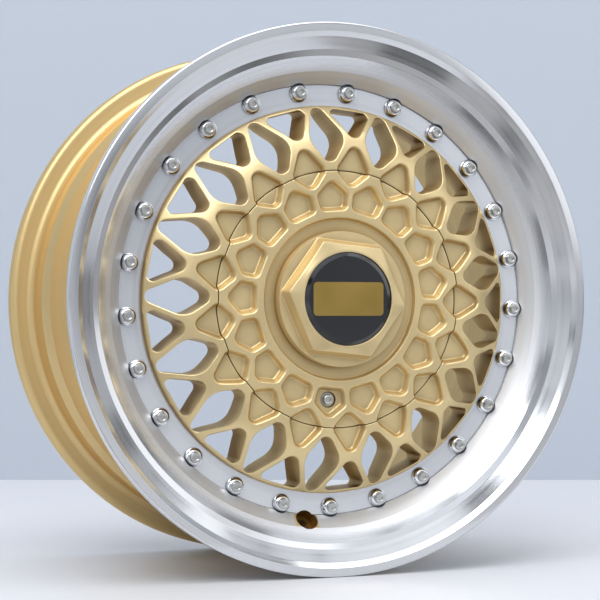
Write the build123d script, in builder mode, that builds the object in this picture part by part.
from build123d import *
import os
from math import atan2, cos, degrees, radians, sin, tan

# Forged three-piece racing wheel, 15 x 7 inch.
# The wheel axis is Y: the street side faces -Y, the hub is on the +Y side, +Z is up.
# The origin is the centre of the hub mounting face. Millimetres throughout.
# Depths are counted inwards (+Y) from the lip plane, which is the foremost face of the rim.

# ---- Rim standard ----
bead_seat_radius = 190.0
flange_height = 17.5
rim_width = 177.8
flange_thickness = 12.2
et_offset = 25.0
bead_taper = 5.0
hump_height = 1.3
hump_width = 2.5
hump_blend = 2.0
flange_nose = 5.0
flange_root = 6.5

# ---- Hub side ----
hub_bore_radius = 28.55
hub_face_radius = 75.0
hub_pad_thickness = 18.0
lug_circle_radius = 50.0
lug_count = 4
lug_clock = 45.0
lug_bore_radius = 7.0
lug_seat_radius = 11.5
lug_insert_depth = 13.0
lug_seat_land = 0.6
lug_cone_angle = 30.0
drum_radius = 76.0
drum_draft = 3.0
drum_wall = 7.5
pad_shoulder = 6.0
tube_radius = 35.6
tube_front_depth = 13.0
tube_shoulder = 4.0

# ---- Bolted joint between the centre and the two rim halves ----
bolt_count = 25
bolt_circle_radius = 157.8
shank_radius = 3.5
shank_clearance = 0.15
flange_face_depth = 29.5
centre_flange = 10.0
rim_flange = 6.0
register_land = 5.8
spigot_land = 10.6
spigot_wall = 8.0
register_gap = 0.15
collar_radius = 7.1
collar_height = 5.0
collar_edge = 1.4
collar_spot_gap = 0.3
collar_crown_radius = 4.6
head_radius = 3.9
head_height = 3.0
head_socket_radius = 2.0
head_socket_depth = 1.5
bolt_tail = 1.8
nut_across_corners = 12.6
nut_height = 6.5
nut_washer_radius = 6.6
nut_washer_height = 1.2
thread_play = 0.04
fit_gap = 0.03

# ---- Outer half: the lip ----
lip_land = 6.7
lip_edge_radius = 1.6
lip_step_radius = 197.0
lip_step_depth = 3.2
lip_shelf_radius = 187.8
lip_shelf_depth = 8.8
lip_brow_radius = 183.3
lip_brow_depth = 10.7
lip_cone_radius = 172.6
lip_cone_depth = 17.9
lip_foot_depth = 27.2
lip_blend = 2.0
lip_step_blend = 1.0
seat_length = 24.0
valve_clock = 263.85
valve_bore_radius = 5.75
valve_pocket_radius = 8.7
valve_floor_radius = 173.3
valve_floor_depth = 34.0
valve_tilt = 30.0
valve_pocket_length = 20.0

# ---- Inner half: the barrel ----
well_nut_gap = 6.9
well_width = 36.5
well_rise = 14.0
barrel_step = 14.0
barrel_wall = 4.5
barrel_rise = 13.5
barrel_blend = 5.0
flange_back_blend = 3.0
nut_face_blend = 1.0
seam_groove = 2.6
seal_gap = 0.05

# ---- Mesh centre ----
mesh_count = 17
mesh_rim_land = 0.3
mesh_rim_depth = 23.9
ridge_front = 0.8
ridge_shoulder_radius = 118.5
ridge_crown_radius = 41.0
mesh_back_depth = 45.0
mesh_knee_radius = 111.0
mesh_knee_depth = 25.5
mesh_waist_radius = 101.0
mesh_waist_depth = 22.5
mesh_root_depth = 31.5
mesh_draft = 1.2
cut_margin = 5.0
window_inner_land = 2.2
window_side_radius = 120.5
window_side_half = 15.3
window_outer_reach = 5.4
window_corners = (6.0, 14.0, 5.5, 14.0)
gusset_apex_radius = 117.8
gusset_outer_land = 2.9
gusset_half = 18.6
gusset_corners = (6.0, 3.6, 3.6)
pocket_depth = 5.8
pocket_draft = 20.0
kite_outer_radius = 121.5
kite_side_radius = 95.7
kite_side_half = 14.5
kite_inner_radius = 82.5
kite_corners = (6.0, 6.0, 6.0, 6.0)

# ---- Waffle cover ----
cover_radius = 96.0
cover_gap = 0.5
cover_chamfer = 0.4
cover_seat_depth = 12.0
cover_seat_width = 9.0
cover_seat_wall = 8.0
cover_seat_chamfer = 1.0
cover_back_depth = 9.0
cover_step_radius = 60.0
cover_step_depth = 3.5
cover_step_slope = 0.6
cover_bore_radius = 29.0
shield_outer_radius = 90.7
shield_side_radius = 78.7
shield_side_half = 12.94
shield_inner_radius = 66.2
shield_inner_half = 10.56
shield_corners = (6.0, 5.0, 4.5, 4.5, 5.0)
dowel_radius = 2.5
dowel_length = 8.0
dowel_end_gap = 0.5
dowel_steps = (-4, 5)

# ---- Hexagonal centre cap ----
cap_washer_thickness = 1.5
cap_disc_radius = 51.2
cap_disc_top_radius = 50.4
cap_disc_front = 4.9
hex_base_radius = 49.6
hex_top_radius = 46.9
cap_front = 16.0
cap_crown_radius = 36.0
cap_cone_drop = 3.5
cap_cone_reach = 10.0
cap_washer_radius = 47.5
cap_foot_gap = 0.3
emblem_radius = 34.5
emblem_gap = 0.25
emblem_recess = 3.6
emblem_bevel = 3.2
emblem_bevel_drop = 1.0
emblem_bevel_blend = 3.0
emblem_edge_blend = 0.4
emblem_bar_length = 56.0
emblem_bar_width = 25.0
emblem_bar_corner = 3.0
emblem_bar_inset = 0.6
emblem_bar_proud = 0.15
emblem_ring_width = 2.0
emblem_ring_thickness = 0.8
skirt_radius = 26.0
skirt_wall = 3.6
skirt_end_depth = 25.0
insert_wall = 4.2
insert_length = 13.0
running_gap = 0.06

# ---- Cover lock screw ----
lock_circle_radius = 75.5
lock_head_radius = 4.3
lock_head_height = 3.2
lock_shank_radius = 2.5
lock_shank_length = 13.0
lock_socket_radius = 2.3
lock_socket_depth = 1.9
lock_washer_radius = 5.3
lock_washer_thickness = 0.8
lock_counterbore_radius = 6.1
lock_counterbore_depth = 2.0
lock_insert_radius = 4.5
lock_insert_length = 11.0
lock_boss_radius = 8.5
lock_boss_length = 20.0

# ---- Places worked out from the sizes above ----
flange_radius = bead_seat_radius + flange_height
overall_width = rim_width + 2 * flange_thickness
lip_y = et_offset - overall_width / 2
hub_depth = -lip_y
register_radius = bolt_circle_radius + register_land
spigot_radius = bolt_circle_radius - spigot_land
mesh_rim_radius = spigot_radius - mesh_rim_land
gusset_outer_radius = mesh_rim_radius - gusset_outer_land
window_outer_radius = mesh_rim_radius + window_outer_reach
window_inner_radius = cover_radius + cover_gap + window_inner_land
well_radius = bolt_circle_radius + nut_across_corners / 2 + well_nut_gap
barrel_radius = well_radius + barrel_step
pad_front_depth = hub_depth - hub_pad_thickness
lip_flange_depth = flange_face_depth + centre_flange
barrel_flange_depth = lip_flange_depth + rim_flange
washer_depth = barrel_flange_depth + rim_flange
nut_depth = washer_depth + nut_washer_height
mesh_pitch = 360 / mesh_count
drum_end_radius = drum_radius - drum_draft
insert_radius = skirt_radius + running_gap + insert_wall
insert_seat_depth = tube_front_depth + insert_length
cap_back_depth = cover_step_depth - cap_washer_thickness
pocket_floor_depth = pocket_depth - ridge_front
lock_seat_depth = pocket_floor_depth + lock_counterbore_depth
bolt_clock = valve_clock + 180 / bolt_count
recess_radius = cover_radius + cover_gap
dowel_circle_radius = cover_radius - cover_seat_width / 2
joint_bore_radius = spigot_radius + register_gap
seat_end_radius = bead_seat_radius - seat_length * tan(radians(bead_taper))
hump_radius = seat_end_radius + hump_height
groove_foot_radius = well_radius - seam_groove
rear_seat_depth = overall_width - flange_thickness
well_end_depth = barrel_flange_depth + well_width
barrel_start_depth = well_end_depth + well_rise
barrel_end_depth = rear_seat_depth - seat_length - hump_width - barrel_rise
shank_length = collar_height + centre_flange + 2 * rim_flange + nut_washer_height + nut_height + bolt_tail
collar_slope = degrees(atan2(collar_radius - collar_crown_radius, collar_height - collar_edge))
lug_cone_depth = (lug_seat_radius - lug_seat_land - lug_bore_radius) / tan(radians(lug_cone_angle))
hex_taper = degrees(
    atan2((hex_base_radius - hex_top_radius) * cos(radians(30)), cap_front - cap_cone_drop - cap_disc_front)
)
cone_slope = cap_cone_drop / (hex_top_radius - cap_crown_radius)
cone_foot_depth = cone_slope * (cap_disc_radius + cap_cone_reach - cap_crown_radius) - cap_front
os.makedirs("parts", exist_ok=True)


def at(radius, depth):
    """A profile point: radius from the axis, depth behind the lip plane."""
    return (radius, lip_y + depth)


def facing(depth):
    """A plane across the wheel at this depth that faces the street side, with local Y up."""
    return Plane((0, lip_y + depth, 0), x_dir=(1, 0, 0), z_dir=(0, -1, 0))


def valve_plane():
    """A plane square to the valve hole at the floor of its pocket, facing the street side."""
    clock = radians(valve_clock)
    tilt = radians(valve_tilt)
    outward = Vector(cos(clock), 0, sin(clock))
    return Plane(
        origin=outward * valve_floor_radius + Vector(0, lip_y + valve_floor_depth, 0),
        z_dir=outward * -sin(tilt) - Vector(0, cos(tilt), 0),
    )


def export(piece, label):
    """Name a finished piece and write it."""
    piece.part.label = label
    export_step(piece.part, f"parts/{label}.step")


# ---- Outlines of the mesh openings, each drawn about the local +X axis ----
with BuildSketch() as window_outline:
    with BuildLine():
        FilletPolyline(
            (window_inner_radius, 0),
            (window_side_radius, window_side_half),
            (window_outer_radius, 0),
            (window_side_radius, -window_side_half),
            radius=window_corners,
            close=True,
        )
    make_face()

with BuildSketch() as gusset_outline:
    with BuildLine():
        FilletPolyline(
            (gusset_apex_radius, 0),
            (gusset_outer_radius, gusset_half),
            (gusset_outer_radius, -gusset_half),
            radius=gusset_corners,
            close=True,
        )
    make_face()

with BuildSketch() as kite_outline:
    with BuildLine():
        FilletPolyline(
            (kite_outer_radius, 0),
            (kite_side_radius, kite_side_half),
            (kite_inner_radius, 0),
            (kite_side_radius, -kite_side_half),
            radius=kite_corners,
            close=True,
        )
    make_face()

with BuildSketch() as shield_outline:
    with BuildLine():
        FilletPolyline(
            (shield_outer_radius, 0),
            (shield_side_radius, shield_side_half),
            (shield_inner_radius, shield_inner_half),
            (shield_inner_radius, -shield_inner_half),
            (shield_side_radius, -shield_side_half),
            radius=shield_corners,
            close=True,
        )
    make_face()

# ---- Forged mesh centre ----
with BuildPart() as wheel_centre:
    # Turned blank: bolting flange, mesh dish, hub drum, lug pad and cap tube
    with BuildSketch(Plane.XY):
        with BuildLine():
            ridge = FilletPolyline(
                at(recess_radius, -ridge_front),
                at(ridge_shoulder_radius, -ridge_front),
                at(mesh_rim_radius, mesh_rim_depth),
                radius=ridge_crown_radius,
            )
            Polyline(
                ridge @ 1,
                at(mesh_rim_radius, flange_face_depth),
                at(register_radius - register_gap, flange_face_depth),
                at(register_radius - register_gap, lip_flange_depth),
                at(spigot_radius, lip_flange_depth),
                at(spigot_radius, mesh_back_depth),
                at(spigot_radius - spigot_wall, mesh_back_depth),
                at(mesh_knee_radius, mesh_knee_depth),
                at(mesh_waist_radius, mesh_waist_depth),
                at(drum_radius + 2 * drum_wall, mesh_root_depth),
                at(drum_end_radius + drum_wall, pad_front_depth + pad_shoulder),
                at(hub_face_radius, hub_depth),
                at(hub_bore_radius, hub_depth),
                at(hub_bore_radius, insert_seat_depth + tube_shoulder),
                at(insert_radius + fit_gap, insert_seat_depth),
                at(insert_radius + fit_gap, tube_front_depth),
                at(tube_radius, tube_front_depth),
                at(tube_radius, pad_front_depth),
                at(drum_end_radius, pad_front_depth),
                at(drum_radius, cover_seat_depth + cover_seat_wall),
                at(recess_radius - cover_seat_width, cover_seat_depth),
                at(recess_radius, cover_seat_depth),
                ridge @ 0,
            )
        make_face()
    revolve(axis=Axis.Y)
    # Large windows on the valve line and gussets between them, straight through with a little draft
    with BuildSketch(facing(-ridge_front)):
        with PolarLocations(0, mesh_count, start_angle=valve_clock):
            add(window_outline.sketch)
    extrude(amount=-mesh_back_depth - cut_margin, taper=mesh_draft, mode=Mode.SUBTRACT)
    with BuildSketch(facing(-ridge_front)):
        with PolarLocations(0, mesh_count, start_angle=valve_clock + mesh_pitch / 2):
            add(gusset_outline.sketch)
    extrude(amount=-mesh_back_depth - cut_margin, taper=mesh_draft, mode=Mode.SUBTRACT)
    # Blind kite pockets, which run on into the cover
    with BuildSketch(facing(-ridge_front)):
        with PolarLocations(0, mesh_count, start_angle=valve_clock + mesh_pitch / 2):
            add(kite_outline.sketch)
    extrude(amount=-pocket_depth, taper=pocket_draft, mode=Mode.SUBTRACT)
    # Lug holes with a socket well in front and a pressed-in seat
    with BuildSketch(facing(pad_front_depth)):
        with PolarLocations(lug_circle_radius, lug_count, start_angle=lug_clock):
            Circle(lug_seat_radius)
    extrude(amount=-lug_insert_depth, mode=Mode.SUBTRACT)
    with BuildSketch(facing(pad_front_depth)):
        with PolarLocations(lug_circle_radius, lug_count, start_angle=lug_clock):
            Circle(lug_bore_radius)
    extrude(amount=-hub_pad_thickness - cut_margin, mode=Mode.SUBTRACT)
    # Bolt holes in the flange
    with BuildSketch(facing(flange_face_depth)):
        with PolarLocations(bolt_circle_radius, bolt_count, start_angle=bolt_clock):
            Circle(shank_radius + shank_clearance)
    extrude(amount=-centre_flange, mode=Mode.SUBTRACT)
    # The valve pocket is spot-faced after assembly and just bites the edge of the flange
    with BuildSketch(valve_plane()):
        Circle(valve_pocket_radius)
    extrude(amount=valve_pocket_length, mode=Mode.SUBTRACT)
    # Boss on the drum wall for the insert that takes the cover's lock screw
    with BuildSketch(facing(cover_back_depth)):
        with PolarLocations(lock_circle_radius, 1, start_angle=valve_clock):
            Circle(lock_boss_radius)
    extrude(amount=-lock_boss_length)
    with BuildSketch(facing(cover_back_depth)):
        with PolarLocations(lock_circle_radius, 1, start_angle=valve_clock):
            Circle(lock_insert_radius + fit_gap)
    extrude(amount=-lock_insert_length, mode=Mode.SUBTRACT)
    # Holes for the dowels that clock the cover
    for step in dowel_steps:
        with BuildSketch(facing(cover_seat_depth)):
            with PolarLocations(dowel_circle_radius, 1, start_angle=valve_clock + step * mesh_pitch):
                Circle(dowel_radius + fit_gap)
        extrude(amount=-dowel_length / 2, mode=Mode.SUBTRACT)
export(wheel_centre, "wheel_centre")

# ---- Outer rim half: machined lip, front bead seat and bolting flange, with the valve hole ----
with BuildPart() as outer_rim_half:
    with BuildSketch(Plane.XY):
        with BuildLine():
            FilletPolyline(
                at(register_radius, lip_foot_depth),
                at(lip_cone_radius, lip_cone_depth),
                at(lip_brow_radius, lip_brow_depth),
                at(lip_shelf_radius, lip_shelf_depth),
                at(lip_step_radius, lip_step_depth),
                at(flange_radius - lip_land, 0),
                at(flange_radius, 0),
                at(flange_radius, flange_thickness),
                at(bead_seat_radius, flange_thickness),
                at(seat_end_radius, flange_thickness + seat_length),
                at(hump_radius, flange_thickness + seat_length + hump_width),
                at(seat_end_radius, barrel_flange_depth - seam_groove),
                at(well_radius, barrel_flange_depth - seam_groove),
                at(groove_foot_radius, barrel_flange_depth),
                at(joint_bore_radius, barrel_flange_depth),
                at(joint_bore_radius, lip_flange_depth),
                at(register_radius, lip_flange_depth),
                radius=(0, lip_blend, lip_blend, lip_blend, 0, 0, lip_edge_radius, flange_nose)
                + (flange_root, hump_blend, lip_step_blend, lip_step_blend, 0, 0, 0, 0, 0),
                close=True,
            )
        make_face()
    revolve(axis=Axis.Y)
    with BuildSketch(facing(lip_flange_depth)):
        with PolarLocations(bolt_circle_radius, bolt_count, start_angle=bolt_clock):
            Circle(shank_radius + shank_clearance)
    extrude(amount=-rim_flange, mode=Mode.SUBTRACT)
    # Spot faces that let the bolt collars run past the foot of the lip
    with BuildSketch(facing(flange_face_depth)):
        with PolarLocations(bolt_circle_radius, bolt_count, start_angle=bolt_clock):
            Circle(collar_radius + collar_spot_gap)
    extrude(amount=collar_height, mode=Mode.SUBTRACT)
    # Spot-faced pocket and hole for the tyre valve
    with BuildSketch(valve_plane()):
        Circle(valve_pocket_radius)
    extrude(amount=valve_pocket_length, mode=Mode.SUBTRACT)
    with BuildSketch(valve_plane()):
        Circle(valve_bore_radius)
    extrude(amount=-valve_pocket_length, mode=Mode.SUBTRACT)
export(outer_rim_half, "outer_rim_half")

# ---- Inner rim half: bolting flange, drop well, barrel, rear bead seat and rear flange ----
with BuildPart() as inner_rim_half:
    with BuildSketch(Plane.XY):
        with BuildLine():
            FilletPolyline(
                at(joint_bore_radius, barrel_flange_depth),
                at(groove_foot_radius, barrel_flange_depth),
                at(well_radius, barrel_flange_depth + seam_groove),
                at(well_radius, well_end_depth),
                at(barrel_radius, barrel_start_depth),
                at(barrel_radius, barrel_end_depth),
                at(hump_radius, rear_seat_depth - seat_length - hump_width),
                at(seat_end_radius, rear_seat_depth - seat_length),
                at(bead_seat_radius, rear_seat_depth),
                at(flange_radius, rear_seat_depth),
                at(flange_radius, overall_width),
                at(flange_radius - lip_land, overall_width),
                at(bead_seat_radius - barrel_wall, rear_seat_depth + barrel_wall),
                at(seat_end_radius - barrel_wall, rear_seat_depth - seat_length),
                at(barrel_radius - barrel_wall, barrel_end_depth),
                at(barrel_radius - barrel_wall, barrel_start_depth),
                at(well_radius - barrel_wall, well_end_depth),
                at(well_radius - barrel_wall, washer_depth),
                at(joint_bore_radius, washer_depth),
                radius=(0, 0, 0, barrel_blend, barrel_blend, barrel_blend, hump_blend, hump_blend)
                + (flange_root, flange_nose, lip_edge_radius, lip_edge_radius)
                + (flange_back_blend, flange_back_blend, barrel_blend, barrel_blend, barrel_blend)
                + (nut_face_blend, 0),
                close=True,
            )
        make_face()
    revolve(axis=Axis.Y)
    with BuildSketch(facing(barrel_flange_depth)):
        with PolarLocations(bolt_circle_radius, bolt_count, start_angle=bolt_clock):
            Circle(shank_radius + shank_clearance)
    extrude(amount=-rim_flange, mode=Mode.SUBTRACT)
export(inner_rim_half, "inner_rim_half")

# ---- Seal in the groove at the seam, on the tyre side ----
with BuildPart() as rim_seal:
    with BuildSketch(Plane.XY):
        with BuildLine():
            Polyline(
                at(groove_foot_radius + 2 * seal_gap, barrel_flange_depth),
                at(well_radius, barrel_flange_depth - seam_groove + 2 * seal_gap),
                at(well_radius, barrel_flange_depth + seam_groove - 2 * seal_gap),
                close=True,
            )
        make_face()
    revolve(axis=Axis.Y)
export(rim_seal, "rim_seal")

# ---- Assembly bolts, their domed collars, and the nuts and washers behind ----
with BuildPart() as assembly_bolts:
    with BuildSketch(facing(flange_face_depth - collar_height)):
        with PolarLocations(bolt_circle_radius, bolt_count, start_angle=bolt_clock):
            Circle(head_radius)
    extrude(amount=head_height)
    with BuildSketch(facing(flange_face_depth - collar_height)):
        with PolarLocations(bolt_circle_radius, bolt_count, start_angle=bolt_clock):
            Circle(shank_radius)
    extrude(amount=-shank_length)
    with BuildSketch(facing(flange_face_depth - collar_height - head_height)):
        with PolarLocations(bolt_circle_radius, bolt_count, start_angle=bolt_clock):
            RegularPolygon(head_socket_radius, 6)
    extrude(amount=-head_socket_depth, mode=Mode.SUBTRACT)
export(assembly_bolts, "assembly_bolts")

with BuildPart() as bolt_collars:
    with BuildSketch(facing(flange_face_depth)):
        with PolarLocations(bolt_circle_radius, bolt_count, start_angle=bolt_clock):
            Circle(collar_radius)
    extrude(amount=collar_edge)
    with BuildSketch(facing(flange_face_depth - collar_edge)):
        with PolarLocations(bolt_circle_radius, bolt_count, start_angle=bolt_clock):
            Circle(collar_radius)
    extrude(amount=collar_height - collar_edge, taper=collar_slope)
    with BuildSketch(facing(flange_face_depth)):
        with PolarLocations(bolt_circle_radius, bolt_count, start_angle=bolt_clock):
            Circle(shank_radius + thread_play)
    extrude(amount=collar_height, mode=Mode.SUBTRACT)
export(bolt_collars, "bolt_collars")

with BuildPart() as nut_washers:
    with BuildSketch(facing(washer_depth)):
        with PolarLocations(bolt_circle_radius, bolt_count, start_angle=bolt_clock):
            Circle(nut_washer_radius)
            Circle(shank_radius + thread_play, mode=Mode.SUBTRACT)
    extrude(amount=-nut_washer_height)
export(nut_washers, "nut_washers")

with BuildPart() as assembly_nuts:
    with BuildSketch(facing(nut_depth)):
        with PolarLocations(bolt_circle_radius, bolt_count, start_angle=bolt_clock):
            RegularPolygon(nut_across_corners / 2, 6)
            Circle(shank_radius + thread_play, mode=Mode.SUBTRACT)
    extrude(amount=-nut_height)
export(assembly_nuts, "assembly_nuts")

# ---- Steel seats pressed into the lug holes, with a 60 degree cone for the wheel nuts ----
with BuildPart() as lug_seat_inserts:
    with BuildSketch(facing(pad_front_depth)):
        with PolarLocations(lug_circle_radius, lug_count, start_angle=lug_clock):
            Circle(lug_seat_radius - fit_gap)
    extrude(amount=-lug_insert_depth)
    with BuildSketch(facing(pad_front_depth)):
        with PolarLocations(lug_circle_radius, lug_count, start_angle=lug_clock):
            Circle(lug_seat_radius - lug_seat_land)
    extrude(amount=-lug_cone_depth, taper=lug_cone_angle, mode=Mode.SUBTRACT)
    with BuildSketch(facing(pad_front_depth)):
        with PolarLocations(lug_circle_radius, lug_count, start_angle=lug_clock):
            Circle(lug_bore_radius)
    extrude(amount=-lug_insert_depth, mode=Mode.SUBTRACT)
export(lug_seat_inserts, "lug_seat_inserts")

# ---- Waffle cover over the lug well ----
with BuildPart() as waffle_cover:
    with BuildSketch(Plane.XY):
        with BuildLine():
            FilletPolyline(
                at(cover_bore_radius, cover_step_depth),
                at(cover_step_radius, cover_step_depth),
                at(cover_step_radius + cover_step_slope, -ridge_front),
                at(cover_radius - cover_chamfer, -ridge_front),
                at(cover_radius, cover_chamfer - ridge_front),
                at(cover_radius, cover_seat_depth),
                at(cover_radius - cover_seat_width + cover_seat_chamfer, cover_seat_depth),
                at(cover_radius - cover_seat_width, cover_back_depth),
                at(cover_bore_radius, cover_back_depth),
                radius=(0, 1.2, 1.0, 0, 0, 0, 0, 0, 0),
                close=True,
            )
        make_face()
    revolve(axis=Axis.Y)
    with BuildSketch(facing(-ridge_front)):
        with PolarLocations(0, mesh_count, start_angle=valve_clock + mesh_pitch / 2):
            add(kite_outline.sketch)
    extrude(amount=-pocket_depth, taper=pocket_draft, mode=Mode.SUBTRACT)
    with BuildSketch(facing(-ridge_front)):
        with PolarLocations(0, mesh_count, start_angle=valve_clock):
            add(shield_outline.sketch)
    extrude(amount=-pocket_depth, taper=pocket_draft, mode=Mode.SUBTRACT)
    # Counterbored hole for the lock screw, in the floor of the pocket on the valve line
    with BuildSketch(facing(pocket_floor_depth)):
        with PolarLocations(lock_circle_radius, 1, start_angle=valve_clock):
            Circle(lock_counterbore_radius)
    extrude(amount=-lock_counterbore_depth, mode=Mode.SUBTRACT)
    with BuildSketch(facing(pocket_floor_depth)):
        with PolarLocations(lock_circle_radius, 1, start_angle=valve_clock):
            Circle(lock_shank_radius + shank_clearance)
    extrude(amount=-cover_back_depth, mode=Mode.SUBTRACT)
    # Blind dowel holes in the seat
    for step in dowel_steps:
        with BuildSketch(facing(cover_seat_depth)):
            with PolarLocations(dowel_circle_radius, 1, start_angle=valve_clock + step * mesh_pitch):
                Circle(dowel_radius + shank_clearance)
        extrude(amount=dowel_length / 2 + dowel_end_gap, mode=Mode.SUBTRACT)
export(waffle_cover, "waffle_cover")

with BuildPart() as cover_dowels:
    for step in dowel_steps:
        with BuildSketch(facing(cover_seat_depth + dowel_length / 2)):
            with PolarLocations(dowel_circle_radius, 1, start_angle=valve_clock + step * mesh_pitch):
                Circle(dowel_radius)
        extrude(amount=dowel_length)
export(cover_dowels, "cover_dowels")

# ---- Lock screw, its washer and the threaded insert that it enters ----
with BuildPart() as lock_screw_washer:
    with BuildSketch(facing(lock_seat_depth)):
        with PolarLocations(lock_circle_radius, 1, start_angle=valve_clock):
            Circle(lock_washer_radius)
            Circle(lock_shank_radius + thread_play, mode=Mode.SUBTRACT)
    extrude(amount=lock_washer_thickness)
export(lock_screw_washer, "lock_screw_washer")

with BuildPart() as lock_screw:
    with BuildSketch(facing(lock_seat_depth - lock_washer_thickness)):
        with PolarLocations(lock_circle_radius, 1, start_angle=valve_clock):
            Circle(lock_head_radius)
    extrude(amount=lock_head_height)
    with BuildSketch(facing(lock_seat_depth - lock_washer_thickness)):
        with PolarLocations(lock_circle_radius, 1, start_angle=valve_clock):
            Circle(lock_shank_radius)
    extrude(amount=-lock_shank_length)
    with BuildSketch(facing(lock_seat_depth - lock_washer_thickness - lock_head_height)):
        with PolarLocations(lock_circle_radius, 1, start_angle=valve_clock):
            RegularPolygon(lock_socket_radius, 6)
    extrude(amount=-lock_socket_depth, mode=Mode.SUBTRACT)
export(lock_screw, "lock_screw")

with BuildPart() as lock_screw_insert:
    with BuildSketch(facing(cover_back_depth)):
        with PolarLocations(lock_circle_radius, 1, start_angle=valve_clock):
            Circle(lock_insert_radius)
            Circle(lock_shank_radius + running_gap, mode=Mode.SUBTRACT)
    extrude(amount=-lock_insert_length)
export(lock_screw_insert, "lock_screw_insert")

# ---- Threaded ring in the mouth of the hub tube, and the slip washer under the cap ----
with BuildPart() as cap_thread_insert:
    with BuildSketch(facing(tube_front_depth)):
        Circle(insert_radius)
        Circle(skirt_radius + running_gap, mode=Mode.SUBTRACT)
    extrude(amount=-insert_length)
export(cap_thread_insert, "cap_thread_insert")

with BuildPart() as hex_cap_washer:
    with BuildSketch(facing(cap_back_depth)):
        Circle(cap_washer_radius)
        Circle(cover_bore_radius, mode=Mode.SUBTRACT)
    extrude(amount=-cap_washer_thickness)
export(hex_cap_washer, "hex_cap_washer")

# ---- Hexagonal centre cap: round foot, tapered hexagon with a turned crown, threaded skirt ----
with BuildPart() as hex_cap:
    with BuildSketch(facing(-cap_disc_front)):
        RegularPolygon(hex_base_radius, 6, rotation=valve_clock + 30)
    extrude(amount=cap_front - cap_disc_front, taper=hex_taper)
    with BuildSketch(Plane.XY):
        with BuildLine():
            Polyline(
                at(cap_crown_radius, -cap_front),
                at(cap_disc_radius + cap_cone_reach, -cap_front),
                at(cap_disc_radius + cap_cone_reach, cone_foot_depth),
                close=True,
            )
        make_face()
    revolve(axis=Axis.Y, mode=Mode.SUBTRACT)
    with BuildSketch(Plane.XY):
        with BuildLine():
            FilletPolyline(
                at(0, -cap_disc_front),
                at(cap_disc_top_radius, -cap_disc_front),
                at(cap_disc_radius, cover_step_depth - cap_foot_gap),
                at(cap_washer_radius + cap_foot_gap, cover_step_depth - cap_foot_gap),
                at(cap_washer_radius + cap_foot_gap, cap_back_depth),
                at(skirt_radius, cap_back_depth),
                at(skirt_radius, skirt_end_depth),
                at(skirt_radius - skirt_wall, skirt_end_depth),
                at(skirt_radius - skirt_wall, 0),
                at(0, 0),
                radius=(0, 0.8, 0, 0, 0, 0, 0, 0, 2, 0),
                close=True,
            )
        make_face()
    revolve(axis=Axis.Y)
    with BuildSketch(facing(-cap_front)):
        Circle(emblem_radius + emblem_gap)
    extrude(amount=-emblem_recess, mode=Mode.SUBTRACT)
export(hex_cap, "hex_cap")

# ---- Emblem: spring ring, domed disc and a plain bar let into its face ----
with BuildPart() as emblem_spring_ring:
    with BuildSketch(facing(emblem_recess - cap_front)):
        Circle(emblem_radius)
        Circle(emblem_radius - emblem_ring_width, mode=Mode.SUBTRACT)
    extrude(amount=emblem_ring_thickness)
export(emblem_spring_ring, "emblem_spring_ring")

with BuildPart() as emblem_disc:
    with BuildSketch(Plane.XY):
        with BuildLine():
            FilletPolyline(
                at(0, -cap_front),
                at(emblem_radius - emblem_bevel, -cap_front),
                at(emblem_radius, emblem_bevel_drop - cap_front),
                at(emblem_radius, emblem_recess - cap_front - emblem_ring_thickness),
                at(0, emblem_recess - cap_front - emblem_ring_thickness),
                radius=(0, emblem_bevel_blend, emblem_edge_blend, 0, 0),
                close=True,
            )
        make_face()
    revolve(axis=Axis.Y)
    with BuildSketch(facing(-cap_front)):
        RectangleRounded(emblem_bar_length, emblem_bar_width, emblem_bar_corner)
    extrude(amount=-emblem_bar_inset, mode=Mode.SUBTRACT)
export(emblem_disc, "emblem_disc")

with BuildPart() as emblem_bar:
    with BuildSketch(facing(emblem_bar_inset - cap_front)):
        RectangleRounded(
            emblem_bar_length - 2 * fit_gap,
            emblem_bar_width - 2 * fit_gap,
            emblem_bar_corner,
        )
    extrude(amount=emblem_bar_inset + emblem_bar_proud)
export(emblem_bar, "emblem_bar")
